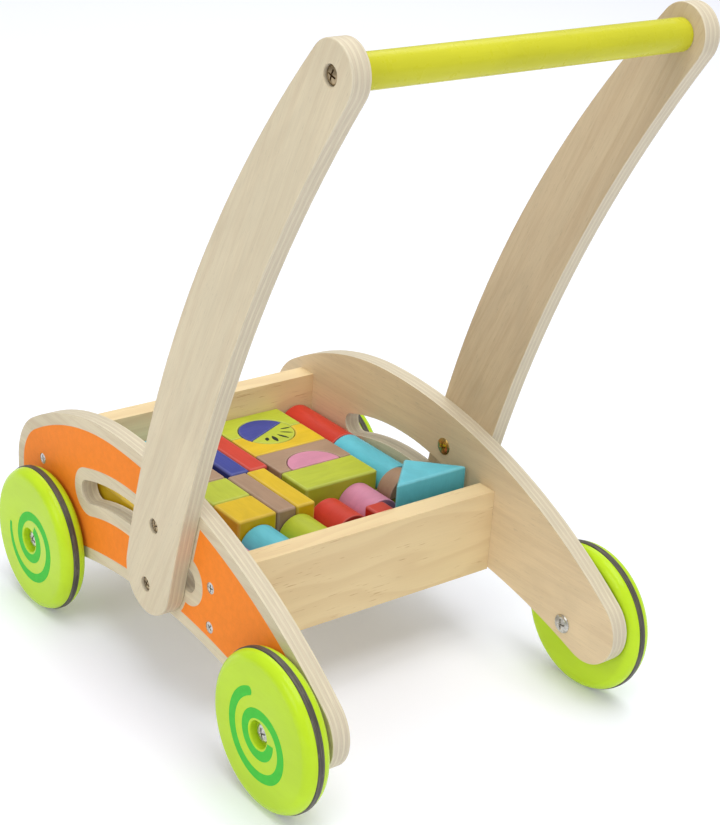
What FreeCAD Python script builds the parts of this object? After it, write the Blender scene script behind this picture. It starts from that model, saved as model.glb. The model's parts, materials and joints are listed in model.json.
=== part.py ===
"""Wooden baby walker with a tray of building blocks.

Frame: X across the walker (+X is the child's left), -Y the way it rolls, +Z up.
The origin is on the floor, under the middle of the walker. Lengths are in millimetres.
"""

import FreeCAD, Part
import math
import os
import Sketcher
from FreeCAD import Rotation, Vector

doc = FreeCAD.newDocument("baby_walker")
sheet = doc.addObject("Spreadsheet::Sheet", "Sizes")

# ---------------------------------------------------------------- driving dimensions

DIMENSIONS = [
    ("ply", 12.0, "plywood thickness of the side panels and arms"),
    ("tray_half_width", 102.5, "middle of the walker to a panel's inner face"),
    ("front_axle_y", -135.0, "front axle"),
    ("rear_axle_y", 140.0, "rear axle"),
    ("wheel_radius", 50.0, "rolling radius, over the tyre band"),
    ("wheel_width", 18.0, "thickness of a wheel"),
    ("rim_radius", 49.3, "wood of the wheel beside the band"),
    ("shoulder_radius", 7.0, "rounding from the rim to a wheel's face"),
    ("band_width", 4.4, "tyre band"),
    ("band_depth", 3.0, "tyre band, from its outside to the bottom of its groove"),
    ("hub_radius", 8.5, "recess for the axle screw"),
    ("hub_depth", 5.0, "recess for the axle screw"),
    ("washer_radius", 10.0, "spacer washer"),
    ("washer_thickness", 1.3, "spacer washer"),
    ("running_gap", 0.3, "washer to wheel, along the axle"),
    ("axle_radius", 4.0, "barrel of the axle sleeve nut"),
    ("axle_play", 0.08, "radial clearance of a wheel on its axle"),
    ("axle_end_play", 0.4, "wheel to the axle screw's head"),
    ("axle_cap_radius", 6.4, "head of the axle sleeve nut"),
    ("axle_cap_height", 2.0, "head of the axle sleeve nut"),
    ("axle_screw_head_radius", 6.0, "axle screw"),
    ("axle_screw_head_height", 2.2, "axle screw"),
    ("axle_screw_radius", 2.5, "axle screw's shank"),
    ("axle_screw_length", 18.0, "axle screw's shank"),
    ("fastener_play", 0.05, "radial clearance of a fixed screw in its hole"),
    ("bar_radius", 9.5, "handle bar"),
    ("bar_screw_radius", 2.5, "handle screw's shank"),
    ("bar_screw_length", 30.0, "handle screw, as far as it goes into the bar"),
    ("bar_screw_head_radius", 5.2, "handle screw"),
    ("bar_screw_head_height", 3.0, "handle screw"),
    ("bar_recess_radius", 5.5, "recess for the handle screw"),
    ("recess_depth", 4.0, "recess for a screw in an arm's outer face"),
    ("bolt_radius", 2.5, "arm bolt's shank"),
    ("bolt_head_radius", 4.4, "arm bolt"),
    ("bolt_head_height", 2.8, "arm bolt"),
    ("bolt_recess_radius", 4.7, "recess for the arm bolt"),
    ("nut_barrel_radius", 4.0, "barrel of the arm bolt's nut"),
    ("nut_barrel_length", 10.0, "barrel of the arm bolt's nut"),
    ("nut_cap_radius", 6.0, "head of the arm bolt's nut"),
    ("nut_cap_height", 1.6, "head of the arm bolt's nut"),
    ("board_thickness", 15.0, "front and rear boards"),
    ("board_bottom", 55.0, "height of the boards' lower edges"),
    ("front_board_y", -147.0, "middle of the front board"),
    ("front_board_top", 122.0, "upper edge of the front board"),
    ("rear_board_y", 58.0, "middle of the rear board"),
    ("rear_board_top", 113.0, "upper edge of the rear board"),
    ("floor_bottom", 57.0, "underside of the tray floor"),
    ("floor_thickness", 4.0, "tray floor"),
    ("groove_depth", 5.0, "groove in a board for the tray floor"),
    ("groove_play", 0.1, "tray floor in its grooves and between the panels"),
    ("board_screw_radius", 1.9, "board screw's shank"),
    ("board_screw_length", 34.0, "board screw's shank"),
    ("board_screw_head_radius", 3.7, "board screw"),
    ("board_screw_head_height", 2.0, "board screw"),
    ("front_screw_y", -151.0, "screws of the front board"),
    ("rear_screw_y", 58.0, "screws of the rear board"),
    ("board_screw_high", 100.0, "height of the upper board screws"),
    ("board_screw_low", 73.0, "height of the lower board screws"),
    ("block_unit", 30.0, "side of a square block, and half the length of a long one"),
    ("block_thickness", 20.0, "a flat block"),
    ("bar_block_width", 15.0, "a narrow block"),
    ("arch_radius", 20.0, "half disc that fills an arch"),
    ("block_gap", 0.3, "between neighbouring blocks"),
    ("disc_gap", 0.4, "half disc to the opening of its arch"),
]

for row, (name, value, note) in enumerate(DIMENSIONS, start=1):
    sheet.set(f"A{row}", note)
    sheet.set(f"B{row}", str(value))
    sheet.setAlias(f"B{row}", name)
doc.recompute()


def size(name):
    """A driving dimension's value."""
    return float(sheet.get(name))


subparts = []


def keep(obj, label):
    """Names a finished sub-part, which is exported under that name."""
    obj.Label = label
    subparts.append(obj)
    return obj


# ---------------------------------------------------------------- outlines made of tangent arcs

# An outline is a list of rounds, anticlockwise in the YZ plane: a centre and a radius,
# which is negative where the outline is hollow. Each round is tangent to the next,
# or a straight line joins them.


def crossing(centre_a, radius_a, centre_b, radius_b):
    """The point right of the way from a to b that is radius_a from a and radius_b from b."""
    across = centre_b - centre_a
    distance = across.Length
    along = (radius_a**2 - radius_b**2 + distance**2) / (2 * distance)
    aside = math.sqrt(radius_a**2 - along**2)
    forward = across / distance
    right = Vector(forward.y, -forward.x, 0)
    return centre_a + forward * along + right * aside


def joining_line(round_a, round_b):
    """Where the outline leaves round_a and where it meets round_b."""
    (centre_a, radius_a), (centre_b, radius_b) = round_a, round_b
    across = centre_b - centre_a
    forward = across / across.Length
    right = Vector(forward.y, -forward.x, 0)
    cosine = (radius_a - radius_b) / across.Length
    if abs(cosine) > 1 - 1e-9:
        normal = forward * round(cosine)
    else:
        normal = forward * cosine + right * math.sqrt(1 - cosine**2)
    return centre_a + normal * radius_a, centre_b + normal * radius_b


def outline(rounds):
    """The arcs and lines of an outline, as sketch geometry."""
    count = len(rounds)
    joints = [joining_line(rounds[i], rounds[(i + 1) % count]) for i in range(count)]
    edges = []
    for i, (centre, radius) in enumerate(rounds):
        start, end = joints[i - 1][1], joints[i][0]
        if radius < 0:
            start, end = end, start
        start_angle = math.atan2(start.y - centre.y, start.x - centre.x)
        end_angle = math.atan2(end.y - centre.y, end.x - centre.x)
        circle = Part.Circle(centre, Vector(0, 0, 1), abs(radius))
        edges.append(Part.ArcOfCircle(circle, start_angle, end_angle))
        leave, meet = joints[i]
        if (meet - leave).Length > 0.01:
            edges.append(Part.LineSegment(leave, meet))
    return edges


def panel_rounds():
    """Side panel: a high rounded nose, a long crown that falls to the tip, a hollow belly."""
    crown_radius, brow_radius, nose_radius = 380.0, 215.0, 43.0
    tip_radius, chin_radius, belly_radius = 25.0, 30.0, 440.0
    peak = Vector(-55, 155.5, 0)
    front = -187.0
    tip_y, chin_z = 160.0, 64.0
    crown = peak - Vector(0, crown_radius, 0)
    brow = peak - Vector(0, brow_radius, 0)
    tip_rise = math.sqrt((crown_radius - tip_radius) ** 2 - (tip_y - crown.x) ** 2)
    tip = Vector(tip_y, crown.y + tip_rise, 0)
    nose_y = front + nose_radius
    nose_rise = math.sqrt((brow_radius - nose_radius) ** 2 - (nose_y - brow.x) ** 2)
    nose = Vector(nose_y, brow.y + nose_rise, 0)
    chin = Vector(front + chin_radius, chin_z, 0)
    belly = crossing(chin, belly_radius + chin_radius, tip, belly_radius + tip_radius)
    return [
        (tip, tip_radius),
        (crown, crown_radius),
        (brow, brow_radius),
        (nose, nose_radius),
        (chin, chin_radius),
        (belly, -belly_radius),
    ]


def slot_rounds():
    """The long slot in a side panel: a band of even width along an arc."""
    middle, radius, half_width = Vector(-37.5, -62, 0), 171.0, 8.0
    front_y, rear_y = -90.0, 33.0
    ends = []
    for end_y in (front_y, rear_y):
        rise = math.sqrt(radius**2 - (end_y - middle.x) ** 2)
        ends.append(Vector(end_y, middle.y + rise, 0))
    front, rear = ends
    return [
        (middle, radius + half_width),
        (front, half_width),
        (middle, -(radius - half_width)),
        (rear, half_width),
    ]


ARM_FOOT = Vector(5, 86, 0)
ARM_TOP = Vector(165.5, 434, 0)
ARM_BOLTS = (Vector(3, 80, 0), Vector(11.5, 124, 0))


def arm_rounds():
    """Handle arm: a round foot, a smaller round top and two curved sides."""
    foot_radius, top_radius = 25.0, 18.0
    front_radius, rear_radius = 755.0, 970.0
    front = crossing(
        ARM_FOOT, front_radius - foot_radius, ARM_TOP, front_radius - top_radius
    )
    rear = crossing(
        ARM_FOOT, rear_radius + foot_radius, ARM_TOP, rear_radius + top_radius
    )
    return [
        (ARM_FOOT, foot_radius),
        (rear, -rear_radius),
        (ARM_TOP, top_radius),
        (front, front_radius),
    ]


# ---------------------------------------------------------------- sketches and features


def new_sketch(body, name, role):
    """A sketch on one of the body's own origin planes."""
    sketch = body.newObject("Sketcher::SketchObject", name)
    plane = next(f for f in body.Origin.OriginFeatures if f.Role == role)
    sketch.AttachmentSupport = [(plane, "")]
    sketch.MapMode = "FlatFace"
    return sketch


def add_hole(sketch, centre, radius_expression):
    """A circle whose radius follows the sheet."""
    index = sketch.addGeometry(Part.Circle(centre, Vector(0, 0, 1), 1.0), False)
    constraint = sketch.addConstraint(Sketcher.Constraint("Radius", index, 1.0))
    sketch.setExpression(f"Constraints[{constraint}]", radius_expression)


def plywood_body(name, rounds_list, holes):
    """A plywood piece, from x = 0 to x = ply: outlines, then round holes."""
    body = doc.addObject("PartDesign::Body", name)
    sketch = new_sketch(body, name + "_outline", "YZ_Plane")
    for rounds in rounds_list:
        sketch.addGeometry(outline(rounds), False)
    for centre, radius_expression in holes:
        add_hole(sketch, centre, radius_expression)
    pad = body.newObject("PartDesign::Pad", name + "_pad")
    pad.Profile = sketch
    pad.setExpression("Length", "Sizes.ply")
    return body


def recess(body, name, places, radius_expression, depth_expression, from_outside):
    """Blind round pockets in a plywood body, from its far face or from its x = 0 face."""
    doc.recompute()
    before = body.Shape.Volume
    sketch = new_sketch(body, name, "YZ_Plane")
    if from_outside:
        sketch.setExpression("AttachmentOffset.Base.z", "Sizes.ply")
    for centre in places:
        add_hole(sketch, centre, radius_expression)
    pocket = body.newObject("PartDesign::Pocket", name + "_pocket")
    pocket.Profile = sketch
    pocket.setExpression("Length", depth_expression)
    pocket.Reversed = not from_outside
    doc.recompute()
    if body.Shape.Volume >= before:
        raise RuntimeError(f"{name} cuts nothing")


# ---------------------------------------------------------------- Part primitives


def place(obj, x="0", y="0", z="0"):
    """Binds an object's position to expressions."""
    for axis, expression in (("x", x), ("y", y), ("z", z)):
        obj.setExpression(f"Placement.Base.{axis}", expression)
    return obj


def box(name, length, width, height, x, y, z):
    """A box with its sizes and lowest corner given as expressions."""
    obj = doc.addObject("Part::Box", name)
    obj.setExpression("Length", length)
    obj.setExpression("Width", width)
    obj.setExpression("Height", height)
    return place(obj, x, y, z)


def rod(name, radius, length, x, y, z):
    """A cylinder along +X from the given point."""
    obj = doc.addObject("Part::Cylinder", name)
    obj.setExpression("Radius", radius)
    obj.setExpression("Height", length)
    obj.Placement.Rotation = Rotation(Vector(0, 1, 0), 90)
    return place(obj, x, y, z)


def fused(name, shapes):
    """Several shapes as one."""
    obj = doc.addObject("Part::MultiFuse", name)
    obj.Shapes = shapes
    return obj


def cut(name, base, tools):
    """base without the tools."""
    obj = doc.addObject("Part::Cut", name)
    obj.Base = base
    obj.Tool = tools[0] if len(tools) == 1 else fused(name + "_tools", tools)
    return obj


def mirrored(name, source):
    """The same shape on the other side of the walker."""
    obj = doc.addObject("Part::Mirroring", name)
    obj.Source = source
    obj.Normal = Vector(1, 0, 0)
    obj.Base = Vector(0, 0, 0)
    return obj


def group(label, pieces):
    """Identical fasteners kept as separate solids in one sub-part."""
    obj = doc.addObject("Part::Compound", label)
    obj.Links = pieces
    return keep(obj, label)


def both_sides(label, pieces):
    """A group of the given left-hand pieces and their mirror images."""
    others = [mirrored(f"{p.Name}_right", p) for p in pieces]
    return group(label, pieces + others)


# ---------------------------------------------------------------- side panels and arms

PANEL_FACE = "(Sizes.tray_half_width + Sizes.ply)"
ARM_FACE = "(Sizes.tray_half_width + 2 * Sizes.ply)"
AXLES = ("Sizes.front_axle_y", "Sizes.rear_axle_y")
BOARDS = ("Sizes.front_board_y", "Sizes.rear_board_y")
BOARD_SCREWS = ("Sizes.front_screw_y", "Sizes.rear_screw_y")
SCREW_HEIGHTS = ("Sizes.board_screw_high", "Sizes.board_screw_low")

axle_points = [
    Vector(size("front_axle_y"), size("wheel_radius"), 0),
    Vector(size("rear_axle_y"), size("wheel_radius"), 0),
]
board_screw_points = [
    Vector(size(y), size(z), 0)
    for y in ("front_screw_y", "rear_screw_y")
    for z in ("board_screw_high", "board_screw_low")
]


def side_panel(label, side):
    """Arched plywood side with its slot, axle holes and screw holes."""
    holes = [(p, "Sizes.axle_radius + Sizes.fastener_play") for p in axle_points]
    holes += [(p, "Sizes.nut_barrel_radius + Sizes.fastener_play") for p in ARM_BOLTS]
    holes += [
        (p, "Sizes.board_screw_radius + Sizes.fastener_play")
        for p in board_screw_points
    ]
    body = plywood_body(label, [panel_rounds(), slot_rounds()], holes)
    recess(
        body,
        label + "_countersinks",
        board_screw_points,
        "Sizes.board_screw_head_radius + Sizes.fastener_play",
        "Sizes.board_screw_head_height",
        side > 0,
    )
    inner_x = "Sizes.tray_half_width" if side > 0 else f"-{PANEL_FACE}"
    return keep(place(body, inner_x), label)


def handle_arm(label, side):
    """Curved arm on the outside of a panel, with recesses for its screws."""
    holes = [(p, "Sizes.bolt_radius + Sizes.fastener_play") for p in ARM_BOLTS]
    holes.append((ARM_TOP, "Sizes.bar_screw_radius + Sizes.fastener_play"))
    body = plywood_body(label, [arm_rounds()], holes)
    recess(
        body,
        label + "_bolt_recess",
        ARM_BOLTS,
        "Sizes.bolt_recess_radius",
        "Sizes.recess_depth",
        side > 0,
    )
    recess(
        body,
        label + "_bar_recess",
        [ARM_TOP],
        "Sizes.bar_recess_radius",
        "Sizes.recess_depth",
        side > 0,
    )
    inner_x = PANEL_FACE if side > 0 else f"-{ARM_FACE}"
    return keep(place(body, inner_x), label)


for side_name, side in (("left", 1), ("right", -1)):
    side_panel(f"side_panel_{side_name}", side)
    handle_arm(f"handle_arm_{side_name}", side)

# ---------------------------------------------------------------- handle bar and its screws

bar_y, bar_z = str(ARM_TOP.x), str(ARM_TOP.y)
bar_bore = "Sizes.bar_screw_radius + Sizes.fastener_play"
bar_blank = rod(
    "bar_blank", "Sizes.bar_radius", f"2 * {PANEL_FACE}", f"-{PANEL_FACE}", bar_y, bar_z
)
bar_bore_left = rod(
    "bar_bore_left",
    bar_bore,
    "Sizes.bar_screw_length + 2",
    f"{PANEL_FACE} - Sizes.bar_screw_length - 2",
    bar_y,
    bar_z,
)
bar_bore_right = mirrored("bar_bore_right", bar_bore_left)
keep(cut("bar", bar_blank, [bar_bore_left, bar_bore_right]), "handle_bar")

bar_screw_head = rod(
    "bar_screw_head",
    "Sizes.bar_screw_head_radius",
    "Sizes.bar_screw_head_height",
    f"{ARM_FACE} - Sizes.recess_depth",
    bar_y,
    bar_z,
)
bar_screw_shank = rod(
    "bar_screw_shank",
    "Sizes.bar_screw_radius",
    "Sizes.bar_screw_length + Sizes.ply - Sizes.recess_depth",
    f"{PANEL_FACE} - Sizes.bar_screw_length",
    bar_y,
    bar_z,
)
both_sides("handle_screws", [fused("bar_screw", [bar_screw_head, bar_screw_shank])])

# ---------------------------------------------------------------- bolts that hold the arms

arm_bolts, arm_nuts = [], []
for number, point in enumerate(ARM_BOLTS, start=1):
    bolt_y, bolt_z = str(point.x), str(point.y)
    shank_start = "Sizes.tray_half_width + Sizes.ply - Sizes.nut_barrel_length + 2"
    head = rod(
        f"bolt_head_{number}",
        "Sizes.bolt_head_radius",
        "Sizes.bolt_head_height",
        f"{ARM_FACE} - Sizes.recess_depth",
        bolt_y,
        bolt_z,
    )
    shank = rod(
        f"bolt_shank_{number}",
        "Sizes.bolt_radius",
        f"{ARM_FACE} - Sizes.recess_depth - ({shank_start})",
        shank_start,
        bolt_y,
        bolt_z,
    )
    arm_bolts.append(fused(f"arm_bolt_{number}", [head, shank]))
    cap = rod(
        f"nut_cap_{number}",
        "Sizes.nut_cap_radius",
        "Sizes.nut_cap_height",
        "Sizes.tray_half_width - Sizes.nut_cap_height",
        bolt_y,
        bolt_z,
    )
    barrel = rod(
        f"nut_barrel_{number}",
        "Sizes.nut_barrel_radius",
        "Sizes.nut_barrel_length",
        "Sizes.tray_half_width",
        bolt_y,
        bolt_z,
    )
    thread = rod(
        f"nut_thread_{number}",
        "Sizes.bolt_radius + Sizes.fastener_play",
        "Sizes.nut_barrel_length",
        shank_start,
        bolt_y,
        bolt_z,
    )
    nut_blank = fused(f"nut_blank_{number}", [cap, barrel])
    arm_nuts.append(cut(f"arm_nut_{number}", nut_blank, [thread]))
both_sides("arm_bolts", arm_bolts)
both_sides("arm_nuts", arm_nuts)

# ---------------------------------------------------------------- tray: boards, floor, screws


def board(label, middle_y, screw_y, top, groove_side):
    """A pine board between the panels, grooved for the tray floor, with screw bores."""
    blank = box(
        label + "_blank",
        "2 * Sizes.tray_half_width",
        "Sizes.board_thickness",
        f"{top} - Sizes.board_bottom",
        "-Sizes.tray_half_width",
        f"{middle_y} - Sizes.board_thickness / 2",
        "Sizes.board_bottom",
    )
    groove_y = f"{middle_y} + Sizes.board_thickness / 2 - Sizes.groove_depth"
    if groove_side < 0:
        groove_y = f"{middle_y} - Sizes.board_thickness / 2"
    groove = box(
        label + "_groove",
        "2 * Sizes.tray_half_width",
        "Sizes.groove_depth",
        "Sizes.floor_thickness + 2 * Sizes.groove_play",
        "-Sizes.tray_half_width",
        groove_y,
        "Sizes.floor_bottom - Sizes.groove_play",
    )
    tools = [groove]
    for number, height in enumerate(SCREW_HEIGHTS, start=1):
        bore = rod(
            f"{label}_bore_{number}",
            "Sizes.board_screw_radius + Sizes.fastener_play",
            "Sizes.board_screw_length",
            "Sizes.tray_half_width + Sizes.ply - Sizes.board_screw_length - 4",
            screw_y,
            height,
        )
        tools += [bore, mirrored(f"{label}_bore_{number}_right", bore)]
    return keep(cut(label + "_cut", blank, tools), label)


board("front_board", BOARDS[0], BOARD_SCREWS[0], "Sizes.front_board_top", 1)
board("rear_board", BOARDS[1], BOARD_SCREWS[1], "Sizes.rear_board_top", -1)

floor_start = (
    "Sizes.front_board_y + Sizes.board_thickness / 2 - Sizes.groove_depth"
    " + Sizes.groove_play"
)
floor_end = (
    "Sizes.rear_board_y - Sizes.board_thickness / 2 + Sizes.groove_depth"
    " - Sizes.groove_play"
)
keep(
    box(
        "floor",
        "2 * (Sizes.tray_half_width - Sizes.groove_play)",
        f"{floor_end} - ({floor_start})",
        "Sizes.floor_thickness",
        "-Sizes.tray_half_width + Sizes.groove_play",
        floor_start,
        "Sizes.floor_bottom",
    ),
    "tray_floor",
)

board_screws = []
for board_name, screw_y in zip(("front", "rear"), BOARD_SCREWS):
    for level, height in zip(("high", "low"), SCREW_HEIGHTS):
        head = rod(
            f"screw_head_{board_name}_{level}",
            "Sizes.board_screw_head_radius",
            "Sizes.board_screw_head_height",
            f"{PANEL_FACE} - Sizes.board_screw_head_height",
            screw_y,
            height,
        )
        shank = rod(
            f"screw_shank_{board_name}_{level}",
            "Sizes.board_screw_radius",
            "Sizes.board_screw_length",
            f"{PANEL_FACE} - Sizes.board_screw_head_height - Sizes.board_screw_length",
            screw_y,
            height,
        )
        board_screws.append(fused(f"board_screw_{board_name}_{level}", [head, shank]))
both_sides("board_screws", board_screws)

# ---------------------------------------------------------------- axles

WHEEL_START = f"{PANEL_FACE} + Sizes.washer_thickness + Sizes.running_gap"
AXLE_END = (
    f"{WHEEL_START} + Sizes.wheel_width - Sizes.hub_depth + Sizes.axle_end_play"
)

sleeve_nuts, axle_screws, washers = [], [], []
for end_name, axle_y in zip(("front", "rear"), AXLES):
    cap = rod(
        f"axle_cap_{end_name}",
        "Sizes.axle_cap_radius",
        "Sizes.axle_cap_height",
        "Sizes.tray_half_width - Sizes.axle_cap_height",
        axle_y,
        "Sizes.wheel_radius",
    )
    barrel = rod(
        f"axle_barrel_{end_name}",
        "Sizes.axle_radius",
        f"{AXLE_END} - Sizes.tray_half_width",
        "Sizes.tray_half_width",
        axle_y,
        "Sizes.wheel_radius",
    )
    thread = rod(
        f"axle_thread_{end_name}",
        "Sizes.axle_screw_radius + Sizes.fastener_play",
        "Sizes.axle_screw_length + 1",
        f"{AXLE_END} - Sizes.axle_screw_length - 1",
        axle_y,
        "Sizes.wheel_radius",
    )
    sleeve_blank = fused(f"sleeve_blank_{end_name}", [cap, barrel])
    sleeve_nuts.append(cut(f"sleeve_nut_{end_name}", sleeve_blank, [thread]))
    head = rod(
        f"axle_screw_head_{end_name}",
        "Sizes.axle_screw_head_radius",
        "Sizes.axle_screw_head_height",
        AXLE_END,
        axle_y,
        "Sizes.wheel_radius",
    )
    shank = rod(
        f"axle_screw_shank_{end_name}",
        "Sizes.axle_screw_radius",
        "Sizes.axle_screw_length",
        f"{AXLE_END} - Sizes.axle_screw_length",
        axle_y,
        "Sizes.wheel_radius",
    )
    axle_screws.append(fused(f"axle_screw_{end_name}", [head, shank]))
    disc = rod(
        f"washer_disc_{end_name}",
        "Sizes.washer_radius",
        "Sizes.washer_thickness",
        PANEL_FACE,
        axle_y,
        "Sizes.wheel_radius",
    )
    washer_hole = rod(
        f"washer_hole_{end_name}",
        "Sizes.axle_radius + Sizes.fastener_play",
        "Sizes.washer_thickness",
        PANEL_FACE,
        axle_y,
        "Sizes.wheel_radius",
    )
    washers.append(cut(f"washer_{end_name}", disc, [washer_hole]))
both_sides("axle_sleeve_nuts", sleeve_nuts)
both_sides("axle_screws", axle_screws)
both_sides("spacer_washers", washers)

# ---------------------------------------------------------------- wheels and tyre bands


def polyline_arc(sketch, points, arcs):
    """Adds lines between the points; arcs maps a point's index to the arc's centre after it."""
    count = len(points)
    for i, start in enumerate(points):
        end = points[(i + 1) % count]
        if i not in arcs:
            sketch.addGeometry(Part.LineSegment(start, end), False)
            continue
        centre = arcs[i]
        circle = Part.Circle(centre, Vector(0, 0, 1), (start - centre).Length)
        angles = [math.atan2(p.y - centre.y, p.x - centre.x) for p in (end, start)]
        sketch.addGeometry(Part.ArcOfCircle(circle, *angles), False)


def revolved(label, points, arcs):
    """A solid of revolution about X from a closed profile of (x, radius) points."""
    body = doc.addObject("PartDesign::Body", label)
    sketch = new_sketch(body, label + "_profile", "XY_Plane")
    polyline_arc(sketch, points, arcs)
    turn = body.newObject("PartDesign::Revolution", label + "_turn")
    turn.Profile = sketch
    turn.ReferenceAxis = (sketch, ["H_Axis"])
    turn.Angle = 360
    return body


def wheel_profile():
    """Half section of a wheel, x = 0 at the face next to the panel."""
    width, rim = size("wheel_width"), size("rim_radius")
    shoulder = size("shoulder_radius")
    bore = size("axle_radius") + size("axle_play")
    hub, hub_floor = size("hub_radius"), width - size("hub_depth")
    groove_floor = size("wheel_radius") - size("band_depth")
    groove_start = (width - size("band_width")) / 2
    groove_end = width - groove_start
    inner_centre = Vector(shoulder, rim - shoulder, 0)
    outer_centre = Vector(width - shoulder, rim - shoulder, 0)
    edge_rise = math.sqrt(shoulder**2 - (groove_start - inner_centre.x) ** 2)
    groove_edge = rim - shoulder + edge_rise
    points = [
        Vector(0, bore, 0),
        Vector(0, rim - shoulder, 0),
        Vector(groove_start, groove_edge, 0),
        Vector(groove_start, groove_floor, 0),
        Vector(groove_end, groove_floor, 0),
        Vector(groove_end, groove_edge, 0),
        Vector(width, rim - shoulder, 0),
        Vector(width, hub, 0),
        Vector(hub_floor, hub, 0),
        Vector(hub_floor, bore, 0),
    ]
    return points, {1: inner_centre, 5: outer_centre}


def band_profile():
    """Half section of a tyre band, in the wheel's own x."""
    corner = 0.6
    start = (size("wheel_width") - size("band_width")) / 2
    end = start + size("band_width")
    outside = size("wheel_radius")
    inside = outside - size("band_depth")
    points = [
        Vector(start, inside, 0),
        Vector(start, outside - corner, 0),
        Vector(start + corner, outside, 0),
        Vector(end - corner, outside, 0),
        Vector(end, outside - corner, 0),
        Vector(end, inside, 0),
    ]
    arcs = {
        1: Vector(start + corner, outside - corner, 0),
        3: Vector(end - corner, outside - corner, 0),
    }
    return points, arcs


for end_name, axle_y in zip(("front", "rear"), AXLES):
    for side_name, side in (("left", 1), ("right", -1)):
        for kind, profile in (("wheel", wheel_profile()), ("tyre_band", band_profile())):
            piece = revolved(f"{kind}_{end_name}_{side_name}", *profile)
            start_x = WHEEL_START
            if side < 0:
                start_x = f"-({WHEEL_START})"
                piece.Placement.Rotation = Rotation(Vector(0, 0, 1), 180)
            place(piece, start_x, axle_y, "Sizes.wheel_radius")
            keep(piece, f"{kind}_{end_name}_{side_name}")

# ---------------------------------------------------------------- building blocks

FLOOR_TOP = "(Sizes.floor_bottom + Sizes.floor_thickness + Sizes.block_gap)"
UPPER = f"({FLOOR_TOP} + Sizes.block_thickness + Sizes.block_gap)"
UNIT = "Sizes.block_unit"
LONG = "(2 * Sizes.block_unit)"
THICK = "Sizes.block_thickness"
NARROW = "Sizes.bar_block_width"


def flat_block(label, x, y, length, width, height=THICK, base=UPPER):
    """A cuboid block by the corner with its lowest x and y."""
    block = box(label + "_box", length, width, height, str(x), str(y), base)
    return keep(block, label)


def half_round(label, x, y, length, base=UPPER, radius="Sizes.block_unit / 2"):
    """A half cylinder on its flat side, along Y, by its lowest x and y."""
    block = doc.addObject("Part::Cylinder", label + "_half_cylinder")
    block.setExpression("Radius", radius)
    block.setExpression("Height", length)
    block.Angle = 180
    block.Placement.Rotation = Rotation(Vector(1, 0, 0), 90)
    place(block, f"{x} + {radius}", f"{y} + {length}", base)
    return keep(block, label)


def arch_block(label, x, y, opens_to):
    """A long flat block with a half-round opening in the middle of its front or rear side."""
    blank = box(label + "_blank", LONG, UNIT, THICK, str(x), str(y), UPPER)
    opening = doc.addObject("Part::Cylinder", label + "_opening")
    opening.setExpression("Radius", "Sizes.arch_radius + Sizes.disc_gap")
    opening.setExpression("Height", THICK)
    open_y = f"{y} + {UNIT}" if opens_to > 0 else str(y)
    place(opening, f"{x} + {UNIT}", open_y, UPPER)
    return keep(cut(label + "_cut", blank, [opening]), label)


def half_disc(label, x, y, heading):
    """A half disc lying flat: the middle of its whole circle, and the way it bulges in degrees."""
    disc = doc.addObject("Part::Cylinder", label + "_half")
    disc.setExpression("Radius", "Sizes.arch_radius")
    disc.setExpression("Height", THICK)
    disc.Angle = 180
    disc.Placement.Rotation = Rotation(Vector(0, 0, 1), heading - 90)
    half_gap = "Sizes.block_gap / 2"
    away_x = f"{half_gap} * cos({heading} deg)"
    away_y = f"{half_gap} * sin({heading} deg)"
    place(disc, f"{x} + {away_x}", f"{y} + {away_y}", UPPER)
    return keep(disc, label)


def prism_block(label, corner_x, corner_y, height):
    """A right-angled triangular prism on its end, with its long side facing the rear."""
    prism = doc.addObject("PartDesign::Body", label)
    sketch = new_sketch(prism, label + "_triangle", "XY_Plane")
    half = size("block_unit")
    corners = [Vector(0, 0, 0), Vector(half, half, 0), Vector(-half, half, 0)]
    for start, end in zip(corners, corners[1:] + corners[:1]):
        sketch.addGeometry(Part.LineSegment(start, end), False)
    pad = prism.newObject("PartDesign::Pad", label + "_pad")
    pad.Profile = sketch
    pad.setExpression("Length", height)
    place(prism, str(corner_x), str(corner_y), FLOOR_TOP)
    return keep(prism, label)


# The middle row, from the front: two arches that close to a ring round a disc of two halves,
# which is turned a little, then a third arch and a brick.
arch_block("lime_arch", -70.5, -139.0, 1)
arch_block("yellow_arch", -70.5, -108.7, -1)
half_disc("blue_half_disc", -40.5, -108.85, -65.5)
half_disc("lime_half_disc", -40.5, -108.85, 114.5)
arch_block("taupe_arch", -70.5, -78.4, 1)
half_disc("pink_half_disc", -40.5, -48.25, -90)
flat_block("lime_brick", -70.5, -48.1, LONG, UNIT)

# Along the right panel: half rounds on thicker blocks, and the prism that stands up.
RAISED = f"({UPPER} + 5)"
half_round("red_half_round", -101.5, -136.8, LONG, RAISED)
half_round("cyan_half_round", -101.5, -76.0, LONG, RAISED)
half_round("taupe_half_round", -98.2, -15.4, NARROW, RAISED)
prism_block("cyan_prism", -70.2, 9.0, LONG)

# The rear row of half rounds and the two bars behind it.
half_round("pink_short_round", -66.5, -17.8, UNIT)
half_round("red_short_round", -35.9, -9.0, UNIT)
half_round("lime_short_round", -5.6, -0.3, UNIT)
half_round("cyan_short_round", 24.7, -0.3, UNIT)
flat_block("red_peg", -51.2, 12.5, NARROW, NARROW, NARROW)
flat_block("blue_rear_bar", -36.2, 30.1, LONG, THICK, NARROW)
flat_block("yellow_rear_bar", 24.4, 30.1, LONG, THICK, NARROW)

# Narrow bars left of the middle row.
flat_block("red_bar", -9.8, -122.0, NARROW, LONG)
flat_block("blue_bar", 5.5, -122.0, NARROW, LONG)
flat_block("yellow_bar", -5.9, -61.3, NARROW, LONG)
flat_block("taupe_bar", 9.4, -61.3, NARROW, LONG)
flat_block("taupe_front_block", -9.8, -139.0, UNIT, NARROW)

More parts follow.
